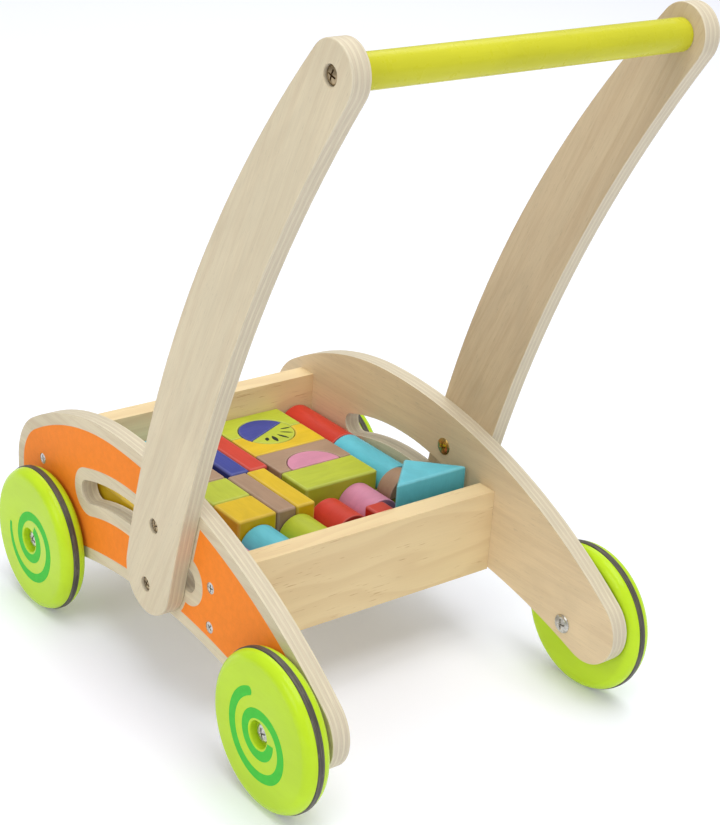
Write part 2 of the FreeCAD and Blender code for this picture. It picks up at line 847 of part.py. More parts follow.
# Squares and long blocks towards the left panel.
flat_block("cyan_front_brick", 22.5, -139.0, LONG, UNIT)
flat_block("blue_cross_bar", 22.5, -108.6, LONG, NARROW)
flat_block("taupe_square", 25.0, -92.0, UNIT, UNIT)
flat_block("lime_square", 25.0, -61.6, UNIT, UNIT)
flat_block("yellow_square", 25.0, -31.3, UNIT, UNIT)
half_round("red_long_round", 55.3, -92.0, LONG)
half_round("pink_long_round", 55.3, -31.3, LONG)
flat_block("yellow_side_bar", 85.6, -112.0, NARROW, LONG)
flat_block("lime_side_bar", 85.6, -51.5, NARROW, LONG)


def lower_blocks(label, places, height=THICK):
    """Blocks of the lower layer, which the upper ones lie on: corner, length and width."""
    pieces = [
        box(f"{label}_{i}", length, width, height, str(x), str(y), FLOOR_TOP)
        for i, (x, y, length, width) in enumerate(places, start=1)
    ]
    return group(label, pieces)


FRONT_ROW, MIDDLE_ROW, REAR_ROW = -138.8, -78.5, -18.2
lower_blocks(
    "lower_blocks_yellow",
    [
        (-69.5, FRONT_ROW, UNIT, LONG),
        (-8.9, FRONT_ROW, UNIT, LONG),
        (51.7, FRONT_ROW, UNIT, LONG),
        (-39.2, MIDDLE_ROW, UNIT, LONG),
        (21.4, MIDDLE_ROW, UNIT, LONG),
        (24.1, REAR_ROW, UNIT, LONG),
    ],
)
lower_blocks(
    "lower_blocks_cyan",
    [
        (-39.2, FRONT_ROW, UNIT, LONG),
        (21.4, FRONT_ROW, UNIT, LONG),
        (84.0, FRONT_ROW, NARROW, LONG),
        (51.7, MIDDLE_ROW, UNIT, LONG),
        (-6.2, REAR_ROW, UNIT, LONG),
    ],
)
lower_blocks(
    "lower_blocks_red",
    [
        (-69.5, MIDDLE_ROW, UNIT, LONG),
        (-8.9, MIDDLE_ROW, UNIT, LONG),
        (84.0, MIDDLE_ROW, NARROW, LONG),
        (-66.8, REAR_ROW, UNIT, UNIT),
        (-36.5, REAR_ROW, UNIT, LONG),
        (54.4, REAR_ROW, UNIT, LONG),
    ],
)
RAISED_HEIGHT = f"({THICK} + 5)"
lower_blocks(
    "lower_blocks_lime",
    [
        (-100.8, -138.0, UNIT, LONG),
        (-100.8, -77.5, UNIT, LONG),
        (-100.8, -17.0, UNIT, NARROW),
    ],
    RAISED_HEIGHT,
)

# ---------------------------------------------------------------- checks and export

doc.recompute()
for obj in doc.Objects:
    if "Invalid" in obj.State or "Error" in obj.State:
        raise RuntimeError(f"{obj.Name} failed: {obj.State}")
for obj in subparts:
    if obj.Shape.isNull() or not obj.Shape.isValid() or not obj.Shape.Solids:
        raise RuntimeError(f"{obj.Label} has no valid solid")

os.makedirs("parts", exist_ok=True)
for obj in subparts:
    obj.Shape.exportStep(f"parts/{obj.Label}.step")
print(f"{len(subparts)} sub-parts written")
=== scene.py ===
import json
import math

import bmesh
import bpy
from mathutils import Matrix, Vector

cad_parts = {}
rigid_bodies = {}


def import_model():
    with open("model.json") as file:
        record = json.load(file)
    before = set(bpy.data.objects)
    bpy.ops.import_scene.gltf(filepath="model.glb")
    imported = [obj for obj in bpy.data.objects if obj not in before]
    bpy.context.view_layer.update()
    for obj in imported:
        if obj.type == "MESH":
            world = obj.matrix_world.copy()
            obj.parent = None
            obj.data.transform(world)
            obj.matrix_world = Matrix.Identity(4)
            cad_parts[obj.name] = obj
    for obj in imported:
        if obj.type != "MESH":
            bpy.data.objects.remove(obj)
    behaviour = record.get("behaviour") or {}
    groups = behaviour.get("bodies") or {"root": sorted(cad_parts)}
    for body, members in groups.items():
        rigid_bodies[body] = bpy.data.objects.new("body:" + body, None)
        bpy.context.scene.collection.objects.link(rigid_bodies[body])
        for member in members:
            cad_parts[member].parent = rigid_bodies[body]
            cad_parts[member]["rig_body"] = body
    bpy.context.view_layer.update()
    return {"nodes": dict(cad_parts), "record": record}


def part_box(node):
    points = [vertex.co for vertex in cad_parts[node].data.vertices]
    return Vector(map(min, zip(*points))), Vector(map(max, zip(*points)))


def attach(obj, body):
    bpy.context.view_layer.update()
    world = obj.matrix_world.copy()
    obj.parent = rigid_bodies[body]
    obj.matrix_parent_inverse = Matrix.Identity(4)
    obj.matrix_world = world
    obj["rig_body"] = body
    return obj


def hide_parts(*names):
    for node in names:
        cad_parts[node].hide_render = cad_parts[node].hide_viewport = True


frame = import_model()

MM = 0.001

# ---------------------------------------------------------------- sizes shared with the frame

panel_low, panel_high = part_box("side_panel_left")
PANEL_INNER = panel_low.x
PANEL_OUTER = panel_high.x
ARM_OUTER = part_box("handle_arm_left")[1].x
PLY = PANEL_OUTER - PANEL_INNER
wheel_low, wheel_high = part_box("wheel_rear_left")
WHEEL_WIDTH = wheel_high.x - wheel_low.x


def middle(node):
    """The middle of a CAD node's box."""
    low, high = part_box(node)
    return (low + high) / 2


# ---------------------------------------------------------------- colours


def srgb(red, green, blue):
    """A linear colour from 0-255 display values."""
    linear = []
    for value in (red, green, blue):
        share = value / 255
        linear.append(share / 12.92 if share <= 0.04045 else ((share + 0.055) / 1.055) ** 2.4)
    return (*linear, 1.0)


def mixed(colour, other, share):
    """colour moved towards other by share."""
    return tuple(a + (b - a) * share for a, b in zip(colour[:3], other[:3])) + (1.0,)


def scaled(colour, factor):
    """colour made lighter or darker by a factor."""
    return tuple(min(1.0, c * factor) for c in colour[:3]) + (1.0,)


WHITE = (1.0, 1.0, 1.0, 1.0)

# ---------------------------------------------------------------- node materials


class Shader:
    """A material under construction: one Principled shader and the nodes that feed it."""

    def __init__(self, name, roughness, **sockets):
        self.material = bpy.data.materials.new(name)
        self.material.use_nodes = True
        self.tree = self.material.node_tree
        self.bsdf = self.tree.nodes["Principled BSDF"]
        self.set("Roughness", roughness)
        for socket, value in sockets.items():
            self.set(socket.replace("_", " "), value)
        self.coordinates = self.add("ShaderNodeTexCoord").outputs["Object"]

    def set(self, socket, value):
        self.bsdf.inputs[socket].default_value = value

    def add(self, kind, inputs=None, **properties):
        node = self.tree.nodes.new(kind)
        for name, value in properties.items():
            setattr(node, name, value)
        for name, value in (inputs or {}).items():
            if isinstance(value, bpy.types.NodeSocket):
                self.tree.links.new(value, node.inputs[name])
            else:
                node.inputs[name].default_value = value
        return node

    def link(self, output, socket):
        self.tree.links.new(output, self.bsdf.inputs[socket])

    def stretched(self, scale, turn=(0, 0, 0)):
        """Object coordinates turned, then scaled per axis (repeats per metre)."""
        turned = self.coordinates
        if any(turn):
            turned = self.add(
                "ShaderNodeMapping", {"Vector": turned, "Rotation": turn}
            ).outputs["Vector"]
        return self.add(
            "ShaderNodeMapping", {"Vector": turned, "Scale": scale}
        ).outputs["Vector"]

    def noise(self, vector, detail=3.0, roughness=0.6, distortion=0.0):
        node = self.add(
            "ShaderNodeTexNoise",
            {
                "Vector": vector,
                "Scale": 1.0,
                "Detail": detail,
                "Roughness": roughness,
                "Distortion": distortion,
            },
        )
        return node.outputs["Fac"]

    def ramp(self, value, low, high, low_out=0.0, high_out=1.0):
        node = self.add(
            "ShaderNodeMapRange",
            {
                "Value": value,
                "From Min": low,
                "From Max": high,
                "To Min": low_out,
                "To Max": high_out,
            },
            interpolation_type="SMOOTHSTEP",
        )
        return node.outputs["Result"]

    def math(self, operation, *values):
        inputs = {i: value for i, value in enumerate(values)}
        return self.add("ShaderNodeMath", inputs, operation=operation).outputs[0]

    def blend(self, share, first, second):
        """first at share 0, second at share 1; each is a colour or a socket."""
        node = self.add("ShaderNodeMix", data_type="RGBA")
        for index, value in ((0, share), (6, first), (7, second)):
            if isinstance(value, bpy.types.NodeSocket):
                self.tree.links.new(value, node.inputs[index])
            else:
                node.inputs[index].default_value = value
        return node.outputs[2]

    def bump(self, height, distance, strength=1.0):
        node = self.add(
            "ShaderNodeBump",
            {"Height": height, "Distance": distance, "Strength": strength},
        )
        self.link(node.outputs["Normal"], "Normal")


AXES = {"X": 0, "Y": 1, "Z": 2}


def along(axis, lengthwise, crosswise):
    """A scale with few repeats along an axis and many across it."""
    scale = [crosswise] * 3
    scale[AXES[axis]] = lengthwise
    return scale


def birch(name, base, axis, turn=(0, 0, 0), figure=0.5):
    """Pale birch veneer: fine short fibres, faint pores and slow changes of tone."""
    shader = Shader(name, 0.5, Specular_IOR_Level=0.2)
    fibres = shader.noise(shader.stretched(along(axis, 30, 1100), turn), 3, 0.7)
    streaks = shader.noise(shader.stretched(along(axis, 9, 190), turn), 4, 0.65, 0.4)
    clouds = shader.noise(shader.stretched(along(axis, 7, 28), turn), 3, 0.55, 1.2)
    pores = shader.noise(shader.stretched(along(axis, 130, 2300), turn), 2, 0.5)
    tone = shader.blend(
        shader.ramp(clouds, 0.32, 0.68), scaled(base, 1.04), scaled(base, 1 - 0.17 * figure)
    )
    tone = shader.blend(
        shader.ramp(streaks, 0.4, 0.7, 0.0, 0.75 * figure),
        tone,
        mixed(scaled(base, 0.76), srgb(190, 142, 90), 0.4),
    )
    tone = shader.blend(shader.ramp(fibres, 0.35, 0.75, 0.0, 0.22), tone, scaled(base, 0.7))
    tone = shader.blend(shader.ramp(pores, 0.64, 0.72, 0.0, 0.34), tone, scaled(base, 0.5))
    shader.link(tone, "Base Color")
    shader.link(shader.ramp(fibres, 0.3, 0.8, 0.46, 0.6), "Roughness")
    shader.bump(fibres, 0.00004, 0.5)
    return shader.material


def ply_edge(name, base, offset):
    """Sanded plywood edge: thin plies across X, every other one end grain, faint glue lines."""
    plies = 7
    shader = Shader(name, 0.55, Specular_IOR_Level=0.3)
    parts = shader.add("ShaderNodeSeparateXYZ", {"Vector": shader.coordinates})
    wander = shader.noise(shader.stretched((0, 14, 14)), 2, 0.5)
    depth = shader.math("SUBTRACT", parts.outputs["X"], offset)
    depth = shader.math("MULTIPLY", depth, plies / PLY)
    depth = shader.math("ADD", depth, shader.ramp(wander, 0.2, 0.8, -0.18, 0.18))
    phase = shader.math("FRACT", shader.math("MULTIPLY", depth, 0.5))
    cross = shader.math("SUBTRACT", shader.ramp(phase, 0.45, 0.56), shader.ramp(phase, 0.9, 1.0))
    line = shader.math("ABSOLUTE", shader.math("SUBTRACT", shader.math("FRACT", depth), 0.5))
    glue = shader.ramp(line, 0.41, 0.5, 0.0, 0.42)
    length_grain = shader.noise(shader.stretched((1500, 55, 55)), 3, 0.65)
    end_grain = shader.noise(shader.stretched((1500, 900, 900)), 2, 0.6)
    pale = shader.blend(
        shader.ramp(length_grain, 0.35, 0.7), scaled(base, 1.03), scaled(base, 0.88)
    )
    rosy = mixed(scaled(base, 0.84), srgb(196, 150, 124), 0.22)
    dark = shader.blend(shader.ramp(end_grain, 0.35, 0.7), rosy, scaled(rosy, 0.88))
    tone = shader.blend(shader.math("MULTIPLY", cross, 0.42), pale, dark)
    tone = shader.blend(glue, tone, scaled(rosy, 0.62))
    shader.link(tone, "Base Color")
    shader.bump(shader.math("ADD", length_grain, cross), 0.00008, 0.35)
    return shader.material


def pine(name, base):
    """Pine board with the grain along X: faint bands, and short resin dashes."""
    shader = Shader(name, 0.5, Specular_IOR_Level=0.2)
    sway = shader.noise(shader.stretched((5, 22, 22)), 2, 0.5)
    parts = shader.add("ShaderNodeSeparateXYZ", {"Vector": shader.coordinates})
    height = shader.math("MULTIPLY", parts.outputs["Z"], 70.0)
    height = shader.math("ADD", height, shader.math("MULTIPLY", sway, 6.0))
    height = shader.math("ADD", height, shader.math("MULTIPLY", parts.outputs["Y"], 60.0))
    ring = shader.math("FRACT", height)
    late = shader.math("MULTIPLY", shader.ramp(ring, 0.2, 0.8), shader.ramp(ring, 1.0, 0.85))
    fibres = shader.noise(shader.stretched((26, 900, 900)), 4, 0.7)
    dashes = shader.noise(shader.stretched((60, 1100, 1100)), 2, 0.55)
    patches = shader.noise(shader.stretched((14, 70, 70)), 2, 0.5)
    deep = mixed(scaled(base, 0.84), srgb(205, 152, 96), 0.35)
    tone = shader.blend(shader.math("MULTIPLY", late, 0.3), scaled(base, 1.02), deep)
    tone = shader.blend(shader.ramp(fibres, 0.35, 0.75, 0.0, 0.16), tone, scaled(base, 0.76))
    dash = shader.math(
        "MULTIPLY", shader.ramp(dashes, 0.62, 0.7), shader.ramp(patches, 0.46, 0.6, 0.0, 0.5)
    )
    tone = shader.blend(dash, tone, srgb(160, 106, 62))
    shader.link(tone, "Base Color")
    shader.bump(fibres, 0.00005, 0.5)
    return shader.material


def stained(name, base, axis, edge_highlight=0.0):
    """Stained hardwood block: satin colour through which the grain shows a little; the last argument
    lightens it towards white, a painted highlight for rounded edges.
    """
    shader = Shader(name, 0.42, Specular_IOR_Level=0.2, Coat_Weight=0.04, Coat_Roughness=0.3)
    fibres = shader.noise(shader.stretched(along(axis, 40, 850)), 3, 0.7)
    clouds = shader.noise(shader.stretched(along(axis, 35, 90)), 3, 0.55, 0.8)
    pores = shader.noise(shader.stretched(along(axis, 160, 2200)), 2, 0.5)
    # Lightened towards white for the rounded edges: painted highlight.
    start = mixed(base, WHITE, edge_highlight)
    tone = shader.blend(shader.ramp(clouds, 0.3, 0.7), scaled(start, 1.05), scaled(start, 0.92))
    tone = shader.blend(shader.ramp(fibres, 0.4, 0.75, 0.0, 0.16), tone, scaled(start, 0.8))
    tone = shader.blend(shader.ramp(pores, 0.66, 0.73, 0.0, 0.18), tone, scaled(start, 0.6))
    shader.link(tone, "Base Color")
    shader.link(shader.ramp(fibres, 0.3, 0.8, 0.38, 0.5), "Roughness")
    shader.bump(fibres, 0.00005, 0.5)
    return shader.material


def lacquered(name, base, roughness=0.22, grain=0.05, axis="Y"):
    """Gloss lacquer on wood: nearly even colour, with a slight ripple in the shine."""
    shader = Shader(
        name, roughness, Specular_IOR_Level=0.16, Coat_Weight=0.06, Coat_Roughness=0.08
    )
    clouds = shader.noise(shader.stretched(along(axis, 14, 45)), 3, 0.55)
    fibres = shader.noise(shader.stretched(along(axis, 28, 700)), 3, 0.65)
    ripple = shader.noise(shader.stretched((160, 160, 160)), 2, 0.5)
    tone = shader.blend(shader.ramp(clouds, 0.3, 0.7), scaled(base, 1.03), scaled(base, 1 - grain))
    tone = shader.blend(shader.ramp(fibres, 0.45, 0.8, 0.0, 2.2 * grain), tone, scaled(base, 0.75))
    shader.link(tone, "Base Color")
    shader.link(shader.ramp(ripple, 0.3, 0.7, roughness * 0.85, roughness * 1.2), "Roughness")
    shader.bump(ripple, 0.00002, 0.4)
    return shader.material


def printed(name, base, axis="Y"):
    """Screen-printed paint: thin, even and slightly mottled, over the veneer's fibres."""
    shader = Shader(name, 0.55, Specular_IOR_Level=0.1)
    mottle = shader.noise(shader.stretched((240, 240, 240)), 4, 0.7)
    fibres = shader.noise(shader.stretched(along(axis, 30, 900)), 3, 0.7)
    tone = shader.blend(shader.ramp(mottle, 0.3, 0.7), scaled(base, 1.03), scaled(base, 0.95))
    tone = shader.blend(shader.ramp(fibres, 0.4, 0.8, 0.0, 0.12), tone, scaled(base, 0.8))
    shader.link(tone, "Base Color")
    shader.bump(fibres, 0.00003, 0.5)
    return shader.material


def rubber(name, base):
    """Matte band: fine grooves round the wheel, painted darker in their hollows and lighter on their
    ridges as painted shade and painted sheen streaks, and a dusty mottle.
    """
    shader = Shader(name, 0.5, Specular_IOR_Level=0.45)
    grooves_and_sheen = shader.noise(shader.stretched((2600, 60, 60)), 3, 0.6)
    dust = shader.noise(shader.stretched((400, 120, 120)), 4, 0.7)
    # Dark in the grooves' hollows and light on their ridges: painted shade and painted sheen streaks.
    tone = shader.blend(shader.ramp(grooves_and_sheen, 0.4, 0.66), scaled(base, 0.5), scaled(base, 1.35))
    tone = shader.blend(
        shader.ramp(dust, 0.5, 0.8, 0.0, 0.5), tone, mixed(base, srgb(170, 165, 145), 0.55)
    )
    shader.link(tone, "Base Color")
    shader.link(shader.ramp(dust, 0.3, 0.7, 0.4, 0.62), "Roughness")
    shader.bump(grooves_and_sheen, 0.00025, 0.6)
    return shader.material


def metal(name, base, roughness, tarnish):
    """Plated steel or brass: clouded tone, fine scratches, darker where it is dull."""
    shader = Shader(name, roughness, Metallic=1.0)
    clouds = shader.noise(shader.stretched((420, 420, 420)), 4, 0.65)
    scratches = shader.noise(shader.stretched((5000, 5000, 400)), 2, 0.6)
    tone = shader.blend(shader.ramp(clouds, 0.35, 0.72), base, scaled(base, tarnish))
    tone = shader.blend(shader.ramp(scratches, 0.5, 0.8, 0.0, 0.3), tone, scaled(base, 0.55))
    shader.link(tone, "Base Color")
    shader.link(shader.ramp(clouds, 0.3, 0.7, roughness * 0.8, roughness * 1.5), "Roughness")
    shader.bump(scratches, 0.00003, 0.4)
    return shader.material


def plastic(name, base):
    """Moulded plastic with a faint eggshell."""
    shader = Shader(name, 0.4, Specular_IOR_Level=0.45)
    shell = shader.noise(shader.stretched((900, 900, 900)), 3, 0.6)
    tone = shader.blend(shader.ramp(shell, 0.3, 0.7), base, scaled(base, 0.93))
    shader.link(tone, "Base Color")
    shader.bump(shell, 0.00003, 0.5)
    return shader.material


ARM_TURN = (math.radians(25), 0, 0)
BIRCH = srgb(224, 210, 178)
# The inward faces' veneer is a tan birch with painted shade and painted warm bounce light mixed into
# its colour.
BIRCH_TAN_AND_SHADE = srgb(228, 206, 168)
BIRCH_EDGE = srgb(214, 203, 177)
PINE = srgb(228, 205, 160)

panel_face = birch("birch_panel", BIRCH, "Y", figure=0.55)
# The panels' inner faces: tan veneer with painted shade.
panel_inside_shaded = birch("birch_panel_inside", BIRCH_TAN_AND_SHADE, "Y", figure=0.32)
arm_face = birch("birch_arm", BIRCH, "Z", ARM_TURN, figure=0.35)
# The arms' inner faces: the inner veneer darkened further, as painted shade.
arm_inside_shaded = birch("birch_arm_inside", scaled(BIRCH_TAN_AND_SHADE, 0.84), "Z", ARM_TURN, figure=0.5)
floor_face = birch("birch_floor", scaled(BIRCH, 0.95), "Y", figure=0.5)
edge_materials = {
    "side_panel_left": ply_edge("ply_edge_panel_left", BIRCH_EDGE, PANEL_INNER),
    "side_panel_right": ply_edge("ply_edge_panel_right", BIRCH_EDGE, -PANEL_OUTER),
    "handle_arm_left": ply_edge("ply_edge_arm_left", BIRCH_EDGE, PANEL_OUTER),
    "handle_arm_right": ply_edge("ply_edge_arm_right", BIRCH_EDGE, -ARM_OUTER),
}
pine_board = pine("pine_board", PINE)
orange_paint = printed("orange_print", srgb(252, 140, 44))
spiral_paint = printed("green_print", srgb(76, 200, 66))
ink = printed("dark_ink", srgb(44, 48, 40))
wheel_lacquer = lacquered("lime_lacquer", srgb(190, 224, 40))
bar_lacquer = lacquered("olive_lacquer", srgb(200, 198, 48), 0.3, 0.07, "X")
band_rubber = rubber("band_rubber", srgb(86, 81, 70))
zinc = metal("zinc_plate", srgb(205, 203, 196), 0.24, 0.62)
# A darker, warmer copy of the plated steel for the sunk arm bolts and bar screws: painted shade of
# their recesses.
zinc_with_painted_shade = metal("dull_bronze", srgb(178, 158, 124), 0.3, 0.5)
brass = metal("brass_plate", srgb(205, 170, 96), 0.2, 0.5)
washer_plastic = plastic("washer_plastic", srgb(226, 222, 208))

BLOCK_COLOURS = {
    "lime": srgb(177, 188, 53),
    "yellow": srgb(214, 179, 23),
    "red": srgb(196, 58, 41),
    "blue": srgb(55, 64, 143),
    "cyan": srgb(98, 188, 203),
    "pink": srgb(203, 133, 158),
    "taupe": srgb(162, 132, 107),
}
block_materials = {}


def block_material(colour, axis, edge_highlight=0.0):
    """The stain of one colour with its grain along one axis, made once; a lightened copy is painted
    highlight for the rounded edges.
    """
    key = f"stain_{colour}_{axis.lower()}" + ("_worn" if edge_highlight else "")
    if key not in block_materials:
        block_materials[key] = stained(key, BLOCK_COLOURS[colour], axis, edge_highlight)
    return block_materials[key]


# ---------------------------------------------------------------- mesh helpers


def new_piece(name, bm, materials, smooth=True):
    """A new object from a bmesh, which is freed."""
    mesh = bpy.data.meshes.new(name)
    bmesh.ops.recalc_face_normals(bm, faces=bm.faces)
    bm.to_mesh(mesh)
    bm.free()
    for material in materials:
        mesh.materials.append(material)
    if smooth:
        mesh.shade_smooth()
    obj = bpy.data.objects.new(name, mesh)
    bpy.context.scene.collection.objects.link(obj)
    return obj


def declare(obj, body, slot, *nodes):
    """Rides on a body and stands for the given CAD nodes, which it hides; slot is not used."""
    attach(obj, body)
    if nodes:
        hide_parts(*nodes)
    return obj


def node_bmesh(node):
    """A CAD node's mesh as a bmesh, joined along its seams and with its flat faces whole."""
    source = frame["nodes"][node].data
    clean = bpy.data.meshes.new("clean")
    clean.from_pydata(
        [v.co for v in source.vertices], [], [list(p.vertices) for p in source.polygons]
    )
    bm = bmesh.new()
    bm.from_mesh(clean)
    bpy.data.meshes.remove(clean)
    bmesh.ops.remove_doubles(bm, verts=bm.verts, dist=1e-6)
    bmesh.ops.dissolve_limit(
        bm, angle_limit=math.radians(0.4), verts=bm.verts, edges=bm.edges
    )
    bmesh.ops.recalc_face_normals(bm, faces=bm.faces)
    return bm


def bevelled(obj, width, segments=3, edge_slot=-1, angle=32):
    """Rounds the sharp edges of a piece."""
    modifier = obj.modifiers.new("Bevel", "BEVEL")
    modifier.width = width
    modifier.segments = segments
    modifier.limit_method = "ANGLE"
    modifier.angle_limit = math.radians(angle)
    modifier.harden_normals = True
    modifier.material = edge_slot
    modifier.miter_outer = "MITER_ARC"
    return obj


def body_of(node):
    """The body that a CAD node belongs to."""
    return frame["nodes"][node]["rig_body"]


def rounded_copy(node, slot, materials, width, edge_slot=-1, segments=3):
    """The CAD node's shape with softened edges, in place of the node."""
    obj = new_piece(node + "_rounded", node_bmesh(node), materials)
    bevelled(obj, width, segments, edge_slot)
    return declare(obj, body_of(node), slot, node)


def lathe(bm, profile, centre, side=1, steps=96):
    """Turns a closed profile of (x, radius) about the X axis through centre."""
    rings = []
    for x, radius in profile:
        ring = []
        for i in range(steps):
            angle = 2 * math.pi * i / steps
            ring.append(
                bm.verts.new(
                    (
                        centre.x + side * x,
                        centre.y + radius * math.cos(angle),
                        centre.z + radius * math.sin(angle),
                    )
                )
            )
        rings.append(ring)
    for k, ring in enumerate(rings):
        after = rings[(k + 1) % len(rings)]
        for i in range(steps):
            j = (i + 1) % steps
            bm.faces.new((ring[i], ring[j], after[j], after[i]))


def filleted(corners, radii, steps=5):
    """A closed outline with its corners rounded; radii may be 0."""
    points = []
    count = len(corners)
    for i, radius in enumerate(radii):
        here = Vector(corners[i])
        if radius == 0:
            points.append(here)
            continue
        back = (Vector(corners[i - 1]) - here).normalized()
        ahead = (Vector(corners[(i + 1) % count]) - here).normalized()
        half = back.angle(ahead) / 2
        centre = here + (back + ahead).normalized() * (radius / math.sin(half))
        first = here + back * (radius / math.tan(half))
        last = here + ahead * (radius / math.tan(half))
        start, end = first - centre, last - centre
        turn = start.angle(end)
        if start.x * end.y - start.y * end.x < 0:
            turn = -turn
        for k in range(steps + 1):
            angle = turn * k / steps
            c, s = math.cos(angle), math.sin(angle)
            points.append(centre + Vector((start.x * c - start.y * s, start.x * s + start.y * c)))
    return points


def extruded(bm, outline, x_low, x_high):
    """A closed outline of (y, z) points as a solid from x_low to x_high."""
    low = [bm.verts.new((x_low, y, z)) for y, z in outline]
    high = [bm.verts.new((x_high, y, z)) for y, z in outline]
    count = len(outline)
    bm.faces.new(low)
    bm.faces.new(high[::-1])
    for i in range(count):
        j = (i + 1) % count
        bm.faces.new((low[i], low[j], high[j], high[i]))


def cut_away(obj, bm):
    """Takes the solid in bm out of a piece."""
    tool = new_piece(obj.name + "_tool", bm, [], smooth=False)
    modifier = obj.modifiers.new("Cut", "BOOLEAN")
    modifier.operation = "DIFFERENCE"
    modifier.solver = "EXACT"
    modifier.object = tool
    bpy.context.view_layer.update()
    evaluated = obj.evaluated_get(bpy.context.evaluated_depsgraph_get())
    result = bpy.data.meshes.new_from_object(evaluated)
    obj.modifiers.remove(modifier)
    old = obj.data
    obj.data = result
    bpy.data.meshes.remove(old)
    mesh = tool.data
    bpy.data.objects.remove(tool)
    bpy.data.meshes.remove(mesh)


# ---------------------------------------------------------------- plywood sides and arms

EDGE_RADIUS = 1.6 * MM


def plywood(node, outside, inside):
    """A plywood part: a veneer on each of its two faces, plies showing on its edges."""
    bm = node_bmesh(node)
    outwards = math.copysign(1, middle(node).x)
    for face in bm.faces:
        facing = face.normal.x * outwards
        # The inward face takes the inside veneer, whose colour carries painted shade.
        face.material_index = 0 if facing > 0.9 else 1 if facing < -0.9 else 2
    obj = new_piece(node + "_rounded", bm, [outside, inside, edge_materials[node]])
    bevelled(obj, EDGE_RADIUS, 3)
    return declare(obj, body_of(node), "birch_plywood", node)


for side_name in ("left", "right"):
    plywood(f"side_panel_{side_name}", panel_face, panel_inside_shaded)
    plywood(f"handle_arm_{side_name}", arm_face, arm_inside_shaded)

rounded_copy("front_board", "pine", [pine_board], 1.2 * MM)
rounded_copy("rear_board", "pine", [pine_board], 1.2 * MM)
rounded_copy("handle_bar", "olive_lacquer", [bar_lacquer], 0.5 * MM)
rounded_copy("tray_floor", "birch_plywood", [floor_face], 0.3 * MM)
frame["nodes"]["spacer_washers"].data.materials.clear()
frame["nodes"]["spacer_washers"].data.materials.append(washer_plastic)

# ---------------------------------------------------------------- printed orange area


def tangent_outline(rounds, steps=28):
    """A closed outline through arcs that are tangent to each other: (centre, radius), hollow < 0."""
    points = []
    count = len(rounds)
    normals = []
    for i in range(count):
        (ca, ra), (cb, rb) = rounds[i], rounds[(i + 1) % count]
        across = Vector(cb) - Vector(ca)
        forward = across.normalized()
        right = Vector((forward.y, -forward.x))
        cosine = max(-1.0, min(1.0, (ra - rb) / across.length))
        normals.append(forward * cosine + right * math.sqrt(1 - cosine * cosine))
    for i, (centre, radius) in enumerate(rounds):
        start = math.atan2(normals[i - 1].y, normals[i - 1].x)
        end = math.atan2(normals[i].y, normals[i].x)
        turn = end - start
        if radius > 0 and turn < 0:
            turn += 2 * math.pi
        if radius < 0 and turn > 0:
            turn -= 2 * math.pi
        for k in range(steps + 1):
            angle = start + turn * k / steps
            points.append(
                (
                    (centre[0] + radius * math.cos(angle)) * MM,
                    (centre[1] + radius * math.sin(angle)) * MM,
                )
            )
    return points


def inset(rounds, margin):
    """The outline moved inwards by a margin, or outwards where it is negative."""
    return [(centre, radius - margin) for centre, radius in rounds]


def crossing(centre_a, radius_a, centre_b, radius_b):
    """The point right of the way from a to b that is radius_a from a and radius_b from b."""
    across = centre_b - centre_a
    distance = across.length
    along_way = (radius_a**2 - radius_b**2 + distance**2) / (2 * distance)
    aside = math.sqrt(radius_a**2 - along_way**2)
    forward = across / distance
    return centre_a + forward * along_way + Vector((forward.y, -forward.x)) * aside


# The three outlines are worked out in millimetres from the same dimensions as the CAD parts.


def panel_rounds():
    """Side panel: a high rounded nose, a long crown that falls to the tip, a hollow belly."""
    crown_radius, brow_radius, nose_radius = 380.0, 215.0, 43.0
    tip_radius, chin_radius, belly_radius = 25.0, 30.0, 440.0
    peak = Vector((-55.0, 155.5))
    front = -187.0
    tip_y, chin_z = 160.0, 64.0
    crown = peak - Vector((0, crown_radius))
    brow = peak - Vector((0, brow_radius))
    tip_rise = math.sqrt((crown_radius - tip_radius) ** 2 - (tip_y - crown.x) ** 2)
    tip = Vector((tip_y, crown.y + tip_rise))
    nose_y = front + nose_radius
    nose_rise = math.sqrt((brow_radius - nose_radius) ** 2 - (nose_y - brow.x) ** 2)
    nose = Vector((nose_y, brow.y + nose_rise))
    chin = Vector((front + chin_radius, chin_z))
    belly = crossing(chin, belly_radius + chin_radius, tip, belly_radius + tip_radius)
    return [
        (tip, tip_radius),
        (crown, crown_radius),
        (brow, brow_radius),
        (nose, nose_radius),
        (chin, chin_radius),
        (belly, -belly_radius),
    ]


def slot_rounds():
    """The long slot in a side panel: a band of even width along an arc."""
    centre, radius, half_width = Vector((-37.5, -62.0)), 171.0, 8.0
    ends = []
    for end_y in (-90.0, 33.0):
        rise = math.sqrt(radius**2 - (end_y - centre.x) ** 2)
        ends.append(Vector((end_y, centre.y + rise)))
    front, rear = ends
    return [
        (centre, radius + half_width),
        (front, half_width),
        (centre, -(radius - half_width)),
        (rear, half_width),
    ]


def arm_rounds():
    """Handle arm: a round foot, a smaller round top and two curved sides."""
    foot, top = Vector((5.0, 86.0)), Vector((165.5, 434.0))
    foot_radius, top_radius = 25.0, 18.0
    front_radius, rear_radius = 755.0, 970.0
    front = crossing(foot, front_radius - foot_radius, top, front_radius - top_radius)
    rear = crossing(foot, rear_radius + foot_radius, top, rear_radius + top_radius)
    return [
        (foot, foot_radius),
        (rear, -rear_radius),
        (top, top_radius),
        (front, front_radius),
    ]


PAINT_THICKNESS = 0.06 * MM
